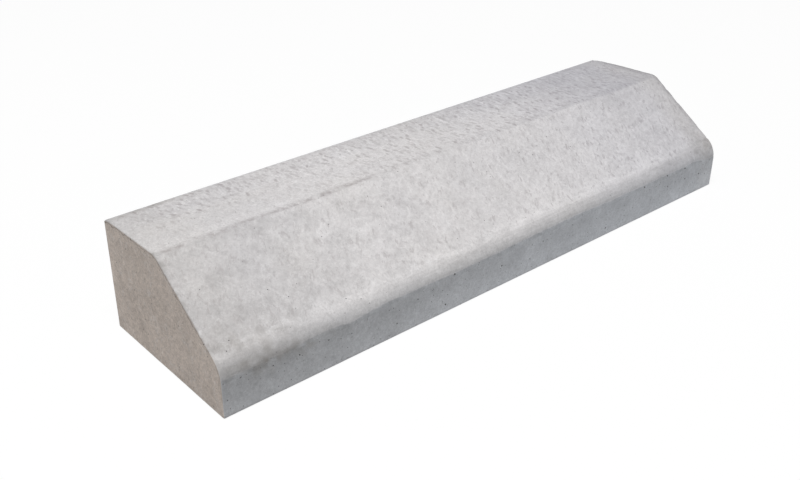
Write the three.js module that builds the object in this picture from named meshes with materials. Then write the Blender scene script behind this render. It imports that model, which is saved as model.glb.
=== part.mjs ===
// Concrete kerb stone of the mountable kind: a single cast block with a flat tread along its
// back, a straight splay falling to a rounded nose, and a low upright front face.
//
// Millimetres. X runs along the stone, -Y is the road side, +Y the pavement side and +Z is up.
// The origin is the centre of the bed, the face that the stone is laid on.

import * as THREE from "three";

// Overall size
const kerbLength = 900;
const kerbWidth = 240;
const kerbHeight = 150;

// Section: the tread and the upstand are measured to the sharp lines that the splay would make
// with them, before those lines are rounded
const treadWidth = 120;
const upstandHeight = 63;
const ridgeRadius = 20;
const noseRadius = 35;

// Pavement-side top edge: a shallow quarter of a large round, level with the tread at its inner end
const backEaseWidth = 26;
const backEaseDrop = 2.4;

// Arrises: the rounding of the two bottom edges, and of every edge at the two ends
const footArris = 2;
const endArris = 1.5;

// Facets: straight pieces in half of each rounded corner, and steps across an end arris
const cornerSegments = 8;
const arrisSegments = 3;

const concrete = new THREE.MeshStandardMaterial({
  name: "concrete",
  color: new THREE.Color(0.66, 0.65, 0.64),
  roughness: 0.9,
  metalness: 0,
});

/**
 * Draws the outline on to `corner` and rounds it there, with an arc of `radius` that touches
 * the line from `before` and the line to `after`. The outline turns left at every corner.
 */
function roundCorner(outline, before, corner, after, radius) {
  const towardsBefore = before.clone().sub(corner).normalize();
  const towardsAfter = after.clone().sub(corner).normalize();
  const halfAngle = Math.acos(towardsBefore.dot(towardsAfter)) / 2;
  const bisector = towardsBefore.clone().add(towardsAfter).normalize();
  const centre = corner.clone().addScaledVector(bisector, radius / Math.sin(halfAngle));
  const touch = radius / Math.tan(halfAngle);
  const start = corner.clone().addScaledVector(towardsBefore, touch).sub(centre);
  const end = corner.clone().addScaledVector(towardsAfter, touch).sub(centre);
  outline.absarc(centre.x, centre.y, radius, start.angle(), end.angle(), false);
}

/** The stone's section, seen along X: its two coordinates are the model's Y and Z. */
function kerbSection() {
  const roadSide = -kerbWidth / 2;
  const pavementSide = kerbWidth / 2;

  const frontFoot = new THREE.Vector2(roadSide, 0);
  const backFoot = new THREE.Vector2(pavementSide, 0);
  const backTop = new THREE.Vector2(pavementSide, kerbHeight - backEaseDrop);
  const easeEnd = new THREE.Vector2(pavementSide - backEaseWidth, kerbHeight);
  const ridge = new THREE.Vector2(pavementSide - treadWidth, kerbHeight);
  const nose = new THREE.Vector2(roadSide, upstandHeight);

  // The ease is part of the circle that touches the tread at easeEnd and passes through backTop
  const easeRadius = (backEaseWidth ** 2 + backEaseDrop ** 2) / (2 * backEaseDrop);
  const easeCentre = new THREE.Vector2(easeEnd.x, easeEnd.y - easeRadius);
  const easeStart = backTop.clone().sub(easeCentre).angle();

  const outline = new THREE.Shape();
  roundCorner(outline, nose, frontFoot, backFoot, footArris);
  roundCorner(outline, frontFoot, backFoot, backTop, footArris);
  outline.lineTo(backTop.x, backTop.y);
  outline.absarc(easeCentre.x, easeCentre.y, easeRadius, easeStart, Math.PI / 2, false);
  roundCorner(outline, easeEnd, ridge, nose, ridgeRadius);
  roundCorner(outline, ridge, nose, frontFoot, noseRadius);
  outline.closePath();
  return outline;
}

/** The section drawn along the whole length, with a rounded arris around each end face. */
function kerbStone() {
  const geometry = new THREE.ExtrudeGeometry(kerbSection(), {
    depth: kerbLength - 2 * endArris,
    steps: 1,
    curveSegments: cornerSegments,
    bevelThickness: endArris,
    bevelSize: endArris,
    bevelOffset: -endArris,
    bevelSegments: arrisSegments,
  });
  const stone = new THREE.Mesh(geometry, concrete);
  stone.name = "kerb_stone";
  // The section's own X, Y and depth become the model's Y, Z and X
  stone.rotation.set(Math.PI / 2, Math.PI / 2, 0);
  stone.position.x = endArris - kerbLength / 2;
  return stone;
}

const group = new THREE.Group();
group.add(kerbStone());

export default group;
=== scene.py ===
"""The looks of a concrete kerb stone: its cast surface, its finish and a plain studio.

Lengths are metres. X runs along the stone, -Y is the road side and +Z is up. A place on the stone
is given by its distance from the left end and by the way round its section, measured from the
pavement-side top edge, over the tread and the splay, to the foot of the front face. In the code
these two are x and s, and the places in tables and in rising, falling and near are millimetres.
"""

import math

import bpy
import numpy as np
from bpy.props import FloatProperty, FloatVectorProperty, PointerProperty
from mathutils import Matrix, Vector


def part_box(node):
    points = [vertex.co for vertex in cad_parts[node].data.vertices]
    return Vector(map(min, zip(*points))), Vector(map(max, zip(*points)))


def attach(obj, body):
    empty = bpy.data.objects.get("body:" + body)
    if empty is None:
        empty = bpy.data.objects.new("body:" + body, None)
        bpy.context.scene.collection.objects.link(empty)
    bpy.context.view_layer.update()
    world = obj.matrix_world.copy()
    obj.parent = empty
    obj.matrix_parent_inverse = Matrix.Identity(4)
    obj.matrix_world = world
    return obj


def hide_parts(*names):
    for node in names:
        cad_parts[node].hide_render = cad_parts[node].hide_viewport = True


bl_info = {
    "name": "Concrete Kerb Stone",
    "version": (1, 0, 0),
    "blender": (4, 5, 0),
    "location": "3D View > Sidebar > Kerb",
    "description": "Casts a concrete kerb stone with its pocked skin, formed faces and a studio",
    "category": "Object",
}

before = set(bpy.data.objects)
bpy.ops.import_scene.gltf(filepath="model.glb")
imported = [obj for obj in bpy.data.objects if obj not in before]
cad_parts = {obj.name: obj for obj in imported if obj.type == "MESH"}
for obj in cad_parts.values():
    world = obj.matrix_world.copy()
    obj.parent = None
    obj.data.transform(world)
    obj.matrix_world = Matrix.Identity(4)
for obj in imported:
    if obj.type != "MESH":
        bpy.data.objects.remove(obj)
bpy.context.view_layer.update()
STONE = "kerb_stone"
STONE_LOW, STONE_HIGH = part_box(STONE)
LENGTH, WIDTH, HEIGHT = STONE_HIGH - STONE_LOW

MM = 0.001

ARRIS_POINTS = 5  # rows of points across an end's arris
CAP_RINGS = 21  # rings of points from an end face's rim to its middle
FIRST_RING = 0.988  # size of the ring that lies close to the rim, as a share of the rim's


# ---------------------------------------------------------------- settings


class KerbForm(bpy.types.PropertyGroup):
    """Sizes of the stone's section and edges."""

    tread_width: FloatProperty(
        name="Tread width", description="From the back face to the sharp ridge line",
        default=120 * MM, unit="LENGTH")
    upstand_height: FloatProperty(
        name="Upstand height", description="From the bed to the sharp nose line",
        default=63 * MM, unit="LENGTH")
    ridge_radius: FloatProperty(
        name="Ridge radius", description="Rounding between the tread and the splay",
        default=20 * MM, unit="LENGTH")
    nose_radius: FloatProperty(
        name="Nose radius", description="Rounding between the splay and the front face",
        default=35 * MM, unit="LENGTH")
    ease_width: FloatProperty(
        name="Ease width", description="Width of the tread's fall to the back face",
        default=26 * MM, unit="LENGTH")
    ease_drop: FloatProperty(
        name="Ease drop", description="Depth of the tread's fall at the back face",
        default=2.4 * MM, unit="LENGTH")
    back_arris: FloatProperty(
        name="Back arris", description="Rounding of the top edge of the back face",
        default=1.2 * MM, unit="LENGTH")
    foot_arris: FloatProperty(
        name="Foot arris", description="Rounding of the two bottom edges",
        default=2 * MM, unit="LENGTH")
    end_arris: FloatProperty(
        name="End arris", description="Rounding around the two end faces",
        default=1.5 * MM, unit="LENGTH")


class KerbRelief(bpy.types.PropertyGroup):
    """Depths and spacings of the cast surface's relief."""

    grid: FloatProperty(
        name="Grid", description="Spacing of the surface's points on the upper faces",
        default=2.2 * MM, unit="LENGTH")
    wave_depth: FloatProperty(
        name="Wave depth", description="Depth of the slow unevenness of every face",
        default=0.5 * MM, unit="LENGTH")
    dimple_spacing: FloatProperty(
        name="Dimple spacing", description="Mean distance between neighbouring dimples",
        default=9.5 * MM, unit="LENGTH")
    dimple_depth: FloatProperty(
        name="Dimple depth", description="Depth of the deepest dimples",
        default=0.6 * MM, unit="LENGTH")
    peel_depth: FloatProperty(
        name="Peel depth", description="Depth of the fine unevenness of the skin",
        default=0.22 * MM, unit="LENGTH")
    form_line_depth: FloatProperty(
        name="Form line depth", description="Depth of the line where the formed front face starts",
        default=0.5 * MM, unit="LENGTH")
    chip_depth: FloatProperty(
        name="Chip depth", description="How far the worst chips widen the left end's arris",
        default=2.5 * MM, unit="LENGTH")
    right_chip_depth: FloatProperty(
        name="Right chip depth", description="How far the worst chips widen the right end's arris",
        default=1.75 * MM, unit="LENGTH")
    corner_wear: FloatProperty(
        name="Corner wear",
        description="How far wear widens the arris at the right end's back corner",
        default=2.2 * MM, unit="LENGTH")


class KerbColours(bpy.types.PropertyGroup):
    """Colours of the concrete."""

    skin: FloatVectorProperty(
        name="Skin", description="Open-cast skin of the tread, splay and nose",
        default=(0.639, 0.620, 0.613), subtype="COLOR")
    cool_skin: FloatVectorProperty(
        name="Cool skin", description="Skin towards the right end",
        default=(0.627, 0.620, 0.653), subtype="COLOR")
    formed: FloatVectorProperty(
        name="Formed face", description="Faces cast against the mould",
        default=(0.511, 0.515, 0.526), subtype="COLOR")
    cool_formed: FloatVectorProperty(
        name="Cool formed face", description="Formed faces towards the right end",
        default=(0.498, 0.515, 0.545), subtype="COLOR")
    end: FloatVectorProperty(
        name="End face", description="The two end faces",
        default=(0.572, 0.502, 0.450), subtype="COLOR")
    bloom: FloatVectorProperty(
        name="Bloom", description="Whitish lime that has come to the surface",
        default=(0.736, 0.730, 0.733), subtype="COLOR")
    # Painted shade: the pock colours are darker partly from dirt in the dimples and partly as shade
    # painted into the hollows
    pock: FloatVectorProperty(
        name="Pock", description="Bottom of the dimples",
        default=(0.370, 0.341, 0.335), subtype="COLOR")
    cool_pock: FloatVectorProperty(
        name="Cool pock", description="Bottom of the dimples towards the right end",
        default=(0.358, 0.341, 0.372), subtype="COLOR")
    grime: FloatVectorProperty(
        name="Grime", description="Brownish stains",
        default=(0.215, 0.196, 0.174), subtype="COLOR")
    # Painted shade: the near-black inside of the pinholes is shade painted into the holes
    hole: FloatVectorProperty(
        name="Hole", description="Inside of the pinholes",
        default=(0.080, 0.078, 0.075), subtype="COLOR")


class KerbStage(bpy.types.PropertyGroup):
    """Camera, floor and lamps."""

    camera_place: FloatVectorProperty(
        name="Camera place", description="From the middle of the stone's bed",
        default=(-0.8563, -0.8430, 0.6474), subtype="TRANSLATION")
    heading: FloatProperty(
        name="Heading", description="Direction of view, turned from +Y towards +X",
        default=math.radians(36.85), subtype="ANGLE")
    pitch: FloatProperty(
        name="Pitch", description="Direction of view, below level",
        default=math.radians(27.10), subtype="ANGLE")
    roll: FloatProperty(
        name="Roll", description="Turn of the camera about its own axis",
        default=math.radians(-2.05), subtype="ANGLE")
    lens: FloatProperty(
        name="Lens", description="Focal length for a 36 mm wide sensor, in millimetres",
        default=43.39)
    shift: FloatVectorProperty(
        name="Shift", description="Offset of the frame, as a share of its width",
        default=(0.1009, -0.0164), size=2)
    floor_size: FloatProperty(
        name="Floor size", description="Side of the square floor", default=16.0, unit="LENGTH")
    floor_gap: FloatProperty(
        name="Floor gap", description="From the bed down to the floor", default=0.3 * MM,
        unit="LENGTH")
    floor_colour: FloatVectorProperty(
        name="Floor colour", description="Pale plain floor",
        default=(0.45, 0.45, 0.45), subtype="COLOR")
    floor_seen: FloatVectorProperty(
        name="Floor seen", description="Floor that the camera sees, before its glow",
        default=(0.95, 0.95, 0.95), subtype="COLOR")
    floor_glow: FloatProperty(
        name="Floor glow", description="Share of plain white in the floor that the camera sees",
        default=0.9)
    sky: FloatProperty(
        name="Sky", description="Strength of the even light from all round", default=0.24)
    lamp: FloatProperty(
        name="Lamp", description="Power of the overhead soft lamp, in watts", default=330.0)
    lamp_place: FloatVectorProperty(
        name="Lamp place", description="From the middle of the stone's bed",
        default=(-1.9, -1.45, 5.6), subtype="TRANSLATION")
    lamp_size: FloatProperty(
        name="Lamp size", description="Across the round lamp", default=3.2, unit="LENGTH")


# ---------------------------------------------------------------- arrays


def smooth(low, high, value):
    """0 below low, 1 above high, and 3t^2 - 2t^3 of the share t of the way between."""
    t = np.clip((value - low) / (high - low), 0.0, 1.0)
    return t * t * (3.0 - 2.0 * t)


def rising(value, low, high):
    """The same step for a value in metres, with low and high in millimetres."""
    return smooth(low * MM, high * MM, value)


def falling(value, low, high):
    """1 below low and 0 above high: what rising leaves of 1."""
    return 1 - rising(value, low, high)


def near(value, middle, reach):
    """1 at middle, falling off on both sides as exp(-(distance / reach)^2), for a value in metres
    and a middle and a reach in millimetres."""
    return np.exp(-(((value - middle * MM) / (reach * MM)) ** 2))


def scatter(seed, *cells):
    """A random number from 0 to 1 for each whole-numbered cell, from mixed and folded bits."""
    mixed = np.full(np.shape(cells[0]), seed * 2654435761 % 2**32, dtype=np.uint64)
    for cell, factor in zip(cells, (73856093, 19349663, 83492791)):
        mixed ^= (cell.astype(np.int64) & 0xFFFFFFFF).astype(np.uint64) * np.uint64(factor)
        mixed &= np.uint64(0xFFFFFFFF)
        mixed ^= mixed >> np.uint64(15)
        mixed = (mixed * np.uint64(2246822519)) & np.uint64(0xFFFFFFFF)
        mixed ^= mixed >> np.uint64(13)
    return mixed.astype(np.float64) / 2**32


def lattice_noise(points, size, seed):
    """Noise from 0 to 1: random numbers at the corners of cubes of this size, blended smoothly
    between the eight corners round each point."""
    place = points / size
    corner = np.floor(place).astype(np.int64)
    share = smooth(0.0, 1.0, place - corner)
    total = np.zeros(points.shape[:-1])
    for step in np.ndindex(2, 2, 2):
        weight = np.prod(np.abs(1 - np.array(step) - share), axis=-1)
        total += weight * scatter(seed, *np.moveaxis(corner + step, -1, 0))
    return total


def layered_noise(points, size, seed, layers=3):
    """Lattice noise added to copies of itself, each of half the size and half the height."""
    total, height, heights = 0.0, 1.0, 0.0
    for layer in range(layers):
        total = total + height * lattice_noise(points, size / 2**layer, seed + layer)
        heights += height
        height *= 0.5
    return total / heights


def dimple_field(along, around, spacing, seed, lean, drawn):
    """Depth from 0 to 1 of scattered oval hollows. Each cell of a square grid holds one, set off
    its middle at random, with its own size, stretch and depth, and its long way within 40 degrees
    of the lean. The factor drawn makes it longer, and brings its long way nearer to the lean. A
    hollow's depth at a distance d from its middle, in its own radii, falls off as exp(-d^3), and
    the deepest of the hollows of the nine cells round a point counts."""
    column = np.floor(along / spacing).astype(np.int64)
    row = np.floor(around / spacing).astype(np.int64)
    deepest = np.zeros(np.shape(along))

    def between(low, high, draw):
        """A random number from low to high for each cell, another one for each draw."""
        return low + (high - low) * scatter(seed + draw, i, j)

    for step_x in (-1, 0, 1):
        for step_s in (-1, 0, 1):
            i, j = column + step_x, row + step_s
            middle_x = (i + between(0.05, 0.95, 0)) * spacing
            middle_s = (j + between(0.05, 0.95, 1)) * spacing
            radius = between(0.22, 0.38, 2) * spacing
            stretch = between(1.2, 2.1, 3) * drawn
            turn = lean + np.radians(between(-40, 40, 4)) / drawn
            depth = 0.25 + 0.75 * between(0, 1, 5) ** 1.3
            dx, ds = along - middle_x, around - middle_s
            length_way = (dx * np.cos(turn) + ds * np.sin(turn)) / (radius * stretch)
            cross_way = (ds * np.cos(turn) - dx * np.sin(turn)) / radius
            hollow = depth * np.exp(-((length_way**2 + cross_way**2) ** 1.5))
            deepest = np.maximum(deepest, hollow)
    return deepest


# ---------------------------------------------------------------- section


def line_run(start, end, step):
    """Points from start up to but not including end, about a step apart, with the outward normal,
    which is on the right of the way travelled."""
    way = end - start
    count = max(1, math.ceil(np.hypot(*way) / step))
    share = np.arange(count)[:, None] / count
    normal = np.array([way[1], -way[0]]) / np.hypot(*way)
    return np.hstack([start + share * way, np.broadcast_to(normal, (count, 2))])


def arc_run(centre, radius, start, end, step, fewest=3):
    """Points of a circle between two angles, up to but not including the end, whose outward
    normals point away from the centre."""
    count = max(fewest, math.ceil(radius * abs(end - start) / step))
    angle = start + (end - start) * np.arange(count) / count
    normal = np.stack([np.cos(angle), np.sin(angle)], axis=1)
    return np.hstack([centre + radius * normal, normal])


def corner_arc(before, corner, after, radius):
    """Centre, start angle and end angle of the arc that touches the lines before-corner and
    corner-after: its centre lies on the bisector, radius / sin(half the corner's angle) away."""
    back = (before - corner) / np.hypot(*(before - corner))
    on = (after - corner) / np.hypot(*(after - corner))
    half = math.acos(float(back @ on)) / 2
    middle = (back + on) / np.hypot(*(back + on))
    centre = corner + middle * radius / math.sin(half)
    start = corner + back * radius / math.tan(half) - centre
    end = corner + on * radius / math.tan(half) - centre
    start_angle = math.atan2(start[1], start[0])
    end_angle = math.atan2(end[1], end[0])
    if end_angle < start_angle:
        end_angle += 2 * math.pi
    return centre, start_angle, end_angle


def section_loop(form, step):
    """The closed section, in the order back top edge, tread, splay, nose, front face, bed and back
    face: an array of Y, Z and the outward normal's Y and Z, the way round to each point, and the
    way round to the start of each named run. Points lie closer than the step on the nose, and
    further apart on the plain bed and back face."""
    back, front = WIDTH / 2, -WIDTH / 2
    ridge = np.array([back - form.tread_width, HEIGHT])
    nose = np.array([front, form.upstand_height])
    front_foot = np.array([front, 0.0])
    back_foot = np.array([back, 0.0])

    # The tread falls to the back face along a large circle, and a small one eases the edge itself
    ease_end = np.array([back - form.ease_width, HEIGHT])
    ease_radius = (form.ease_width**2 + form.ease_drop**2) / (2 * form.ease_drop)
    ease_centre = ease_end - np.array([0.0, ease_radius])
    edge_y = back - form.back_arris
    reach = ease_radius - form.back_arris
    edge_z = ease_centre[1] + math.sqrt(reach**2 - (edge_y - ease_centre[0]) ** 2)
    edge_centre = np.array([edge_y, edge_z])
    edge_angle = math.atan2(*(edge_centre - ease_centre)[::-1])

    corners = {
        "ridge": (ease_end, ridge, nose, form.ridge_radius),
        "nose": (ridge, nose, front_foot, form.nose_radius),
        "foot": (nose, front_foot, back_foot, form.foot_arris),
        "heel": (front_foot, back_foot, edge_centre, form.foot_arris),
    }
    arcs = {name: (*corner_arc(*lines), lines[-1]) for name, lines in corners.items()}

    def touch(name, which):
        """Where a corner's arc meets the line before it (0) or after it (1)."""
        centre, *angles, radius = arcs[name]
        return centre + radius * np.array([math.cos(angles[which]), math.sin(angles[which])])

    def corner(name, spacing):
        """The points of a corner's arc."""
        centre, start, end, radius = arcs[name]
        return arc_run(centre, radius, start, end, spacing)

    runs = {
        "edge": arc_run(edge_centre, form.back_arris, 0.0, edge_angle, step),
        "ease": arc_run(ease_centre, ease_radius, edge_angle, math.pi / 2, step),
        "tread": line_run(ease_end, touch("ridge", 0), step),
        "ridge": corner("ridge", step),
        "splay": line_run(touch("ridge", 1), touch("nose", 0), step),
        "nose": corner("nose", 0.8 * step),
        "front": line_run(touch("nose", 1), touch("foot", 0), step),
        "foot": corner("foot", step),
        "bed": line_run(touch("foot", 1), touch("heel", 0), 4 * step),
        "heel": corner("heel", step),
        "back": line_run(touch("heel", 1), np.array([back, edge_z]), 2.5 * step),
    }
    loop = np.vstack(list(runs.values()))
    steps = np.hypot(*(np.roll(loop[:, :2], -1, axis=0) - loop[:, :2]).T)
    around = np.concatenate([[0.0], np.cumsum(steps)[:-1]])
    firsts = np.cumsum([0] + [len(run) for run in runs.values()][:-1])
    starts = dict(zip(runs, around[firsts]))
    return loop, around, starts


# ---------------------------------------------------------------- places on the stone


class Places:
    """Where things lie on the side surface, as arrays over its grid: the distance along from the
    left end, the way round the section, the lines of the ridge and of the formed front's upper
    edge, and soft masks of the faces."""

    def __init__(self, starts, along, around, points):
        self.along, self.around, self.points = along, around, points
        self.nose_start = starts["nose"]

        # Upper edge of the formed front: a wandering line with a few listed bends, each with its
        # middle, its reach and how far it moves the line
        wander = (layered_noise(self.strip(along), 75 * MM, seed=41, layers=4) - 0.5) * 4 * MM
        wander += 2.8 * MM * falling(along, 80, 130)
        bends = (
            (178, 18, 3.0),
            (232, 22, -2.0),
            (540, 90, -2.5),
            (335, 60, 1.4),
            (740, 60, -1.6),
            (845, 20, -2.0),
            (890, 18, 2.4),
        )
        for middle, reach, moved in bends:
            wander += moved * MM * near(along, middle, reach)
        self.form_line = starts["front"] - 6.6 * MM + wander

        wander = (layered_noise(self.strip(along), 70 * MM, seed=43) - 0.5) * 5 * MM
        self.ridge_line = (starts["ridge"] + starts["splay"]) / 2 - 1.5 * MM + wander

        # Masks from 0 to 1: the tread, the splay, the faces cast against the mould, the reach of
        # their tint, the front face alone, and the tread's smooth patch by the left end
        self.on_tread = falling(around - self.ridge_line, 1, 5)
        self.on_splay = (1 - self.on_tread) * falling(around - self.nose_start, -3, 7)
        back = falling(around, 0.5, 2.5)
        self.formed = np.maximum(rising(around - self.form_line, -1.5, 1.5), back)
        self.formed_tint = np.maximum(back, 0.52 * rising(around, 256, 280))
        self.front = self.formed * rising(around, 250, 260)
        self.smooth_patch = falling(along, 120, 420) * rising(around, 55, 75)

    @staticmethod
    def strip(along):
        """Points on a line, so that noise of them changes with the distance along alone."""
        return np.stack([along, np.zeros_like(along), np.zeros_like(along)], axis=-1)

    def noise(self, size, seed, layers=3):
        """Layered noise over the surface, whose largest patches have this size in millimetres."""
        return layered_noise(self.points, size * MM, seed, layers)

    def drawn_noise(self, size_along, size_around, seed, layers=2):
        """Layered noise whose patches have one size along the stone and another round it, in
        millimetres."""
        flat = np.zeros_like(self.along)
        place = [self.along / (size_along * MM), self.around / (size_around * MM), flat]
        return layered_noise(np.stack(place, axis=-1), 1.0, seed, layers)


def ovals(places, rows):
    """Sum of soft-edged ovals, each its strength times exp(-(distance / reach)^2) both along and
    around. A row gives the middle along and around, the reach along and around, and the
    strength."""
    total = np.zeros_like(places.along)
    for along, around, reach_along, reach_around, strength in rows:
        oval = strength * near(places.along, along, reach_along)
        total += oval * near(places.around, around, reach_around)
    return total


# ---------------------------------------------------------------- hollows


def pock_field(places, spacing):
    """Hollows over a slightly shaken map of the skin, so that none has a plain outline. They lie
    across the stone on the tread, longer past its middle, and slanting on the splay."""
    shake_x = (places.noise(7, seed=61, layers=2) - 0.5) * 2.5 * MM
    shake_s = (places.noise(7, seed=67, layers=2) - 0.5) * 2.5 * MM
    along, around = places.along + shake_x, places.around + shake_s
    drawn = 1.0 + 0.45 * rising(places.along, 350, 450)
    across = dimple_field(along, around, spacing, seed=5, lean=math.pi / 2, drawn=drawn)
    slanting = dimple_field(along, around, spacing, seed=105, lean=-math.pi / 4, drawn=1.0)
    crowd = smooth(0.30, 0.62, places.noise(26, seed=63, layers=2))
    pocks = across * places.on_tread + slanting * (1 - places.on_tread)
    return pocks * (0.65 + 0.35 * crowd)


def dimple_share(places):
    """How strongly the skin is dimpled, from 0 to 1: all over the tread but for a smooth patch by
    the left end, and on the splay more and more towards the right. Fades out to the nose."""
    x, s = places.along, places.around
    tread = 1.0 + 0.20 * rising(x, 560, 700) - 0.50 * places.smooth_patch
    tread = tread * rising(x, 2, 28)
    splay = 0.50 + 0.10 * rising(x, 200, 400) + 0.15 * rising(x, 450, 620)
    share = places.on_tread * tread + places.on_splay * splay
    share = share * (1 - 0.15 * rising(x, 780, 880))
    return share * rising(s, 2, 6) * falling(s, 232, 250)


def ridge_pocks(places):
    """Hollows that run together along the ridge, from 0 to 1, with a ragged upper side and a sharp
    lower one: up to a third of the length, once more a little further on, then scattered dots."""
    x, s = places.along, places.around
    blobs = smooth(0.36, 0.60, places.noise(8, seed=53, layers=2))
    upper = 5.5 * MM + 5 * MM * (places.noise(9, seed=55, layers=1) - 0.5)
    lower = 2.6 * MM + 4.0 * MM * near(x, 80, 34)
    away = s - places.ridge_line + 0.6 * MM
    band = np.exp(-np.abs(away / np.where(away < 0, upper, lower)) ** 3)
    strength = falling(x, 295, 345) * rising(x, 0, 14)
    band = band * (0.12 + 0.88 * blobs) * (0.12 + 0.88 * strength)
    clump = near(x, 380, 11) * near(s, 116, 3.5)
    dots = smooth(0.58, 0.72, places.noise(6.5, seed=59, layers=1))
    dots = dots * near(s, 113, 5) * rising(x, 540, 640)
    return 0.74 * np.maximum(band, np.maximum(0.9 * clump * blobs, 0.8 * dots))


# ---------------------------------------------------------------- stains and finish


def grime_share(places):
    """Brownish stains, from 0 to 1: soft-edged ovals, broken up by noise."""
    stains = (
        # Spots at the left end
        (2, 117, 4, 3, 0.30),
        (4, 135, 7, 7, 0.16),
        (1.5, 186, 2.5, 3, 0.50),
        # Nose and top of the front face, left
        (70, 250, 50, 14, 0.12),
        (15, 250, 45, 28, 0.16),
        (38, 270, 20, 6, 0.10),
        (55, 270, 50, 11, 0.15),
        (56, 291, 18, 12, 0.20),
        (68, 280, 34, 4, 0.22),
        (109, 288, 12, 9, 0.20),
        (115, 275, 40, 8, 0.14),
        (90, 285, 60, 6, 0.12),
        # Nose, right
        (785, 281, 26, 6, 0.10),
        (835, 262, 50, 9, 0.10),
        (885, 256, 30, 20, 0.24),
        # Back edge of the tread, left
        (12, 8, 14, 8, 0.14),
        (65, 5, 32, 7, 0.34),
    )
    broken = 0.35 + 1.3 * smooth(0.30, 0.70, places.noise(11, seed=71, layers=3))
    return np.clip(ovals(places, stains) * broken, 0.0, 1.0)


def lime_of(places):
    """How much lime has come to the surface: most along the start of the nose, some on the lower
    splay of the left half."""
    lower_left = falling(places.along, 250, 450) * rising(places.around, 185, 220)
    splay = places.on_splay * (0.12 + 0.12 * lower_left)
    return 0.08 + splay + 0.44 * near(places.around - places.nose_start, 1, 8)


def mottle_of(places):
    """How strong the cloudy mottling is: least on the trowelled tread, most on the splay's left
    and on the nose's right."""
    x, s = places.along, places.around
    tread = 0.45 + 0.10 * falling(x, 20, 60) + 0.15 * rising(x, 650, 800)
    splay = 0.95 - 0.20 * rising(x, 250, 450) + 0.15 * rising(x, 680, 800)
    splay = splay + 0.20 * rising(x, 640, 760) * rising(s, 250, 258)
    mottle = splay + (tread - splay) * places.on_tread
    return mottle * (1 - 0.15 * places.front)


def streaks_of(places):
    """How strongly the nose is streaked lengthways: from its start to the formed face."""
    x, s = places.along, places.around
    on_nose = rising(s - places.nose_start, -8, 4) * falling(s - places.form_line, -3, 1)
    return on_nose * (0.5 + 0.5 * rising(x, 150, 400) - 0.4 * rising(x, 620, 720))


def cool_of(places):
    """How far the colour has turned from warm to cool, from 0 to 1: slowly towards the right end,
    further on the tread than on the splay, and sooner on the formed front."""
    x = places.along
    skin = 0.12 + 0.18 * rising(x, 10, 120)
    skin = skin + (0.50 + 0.25 * places.on_tread) * rising(x, 400, 850)
    skin = skin - 0.10 * rising(places.around, 40, 60)
    skin = skin + 0.3 * (places.noise(60, seed=91) - 0.5)
    front = 0.35 + 0.65 * rising(x, 0, 700)
    cool = skin + (front - skin) * places.formed
    return np.clip(cool * (1 - 0.3 * rising(x, 845, 880)), 0.0, 1.0)


def flecks_of(places):
    """How strong the dark flecks are, from 0 to 1: most on the splay, fewest on the smooth patch
    of the tread, faint on the nose and the formed front."""
    x = places.along
    tread = (0.30 - 0.08 * rising(x, 380, 480)) * (1 - 0.5 * places.smooth_patch)
    splay = 0.46 + 0.14 * rising(x, 430, 600)
    rest = 0.12 + 0.12 * rising(x, 640, 760)
    flecks = places.on_tread * tread + places.on_splay * splay
    return flecks + (1 - places.on_tread - places.on_splay) * rest


def pocked_of(places):
    """How strong the smallest pocks are: most on the tread, by its back edge up to 400 mm and all
    over it from there on."""
    x, s = places.along, places.around
    past = rising(x, 360, 470)
    early = (1 - past) * falling(s, 50, 80) * (1 - 0.7 * rising(x, 130, 190))
    return 0.45 + places.on_tread * (0.40 + 0.20 * past + 0.34 * early)


def lean_of(places):
    """Angle by which the small pocks lean over from lying straight round the stone: most on the
    splay, a little along the back of the tread past the middle."""
    back_right = rising(places.along, 360, 470) * falling(places.around, 40, 75)
    return -0.8 * places.on_splay - 0.28 * back_right * places.on_tread


def strokes_of(places):
    """How strongly the tread is marked by strokes across it: along its back edge, more and further
    in past the middle, and hardly at the right end."""
    x, s = places.along, places.around
    past = rising(x, 380, 500)
    strokes = places.on_tread * falling(s - 12 * MM * past, 30, 62)
    strokes = strokes * rising(x, 20, 80) * (0.65 + 0.45 * past)
    return strokes * (1 - 0.7 * rising(x, 790, 850))


def grain_of(places):
    """How strong the finest mottling is: most on the tread and the formed faces, least on the
    splay's left, and a little less towards the right end."""
    x = places.along
    grain = 0.50 + 0.20 * places.on_tread + 0.15 * places.formed
    grain = grain - 0.08 * places.on_splay * falling(x, 420, 560)
    return grain * (1 - 0.18 * rising(x, 550, 850))


# ---------------------------------------------------------------- brightness


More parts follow.
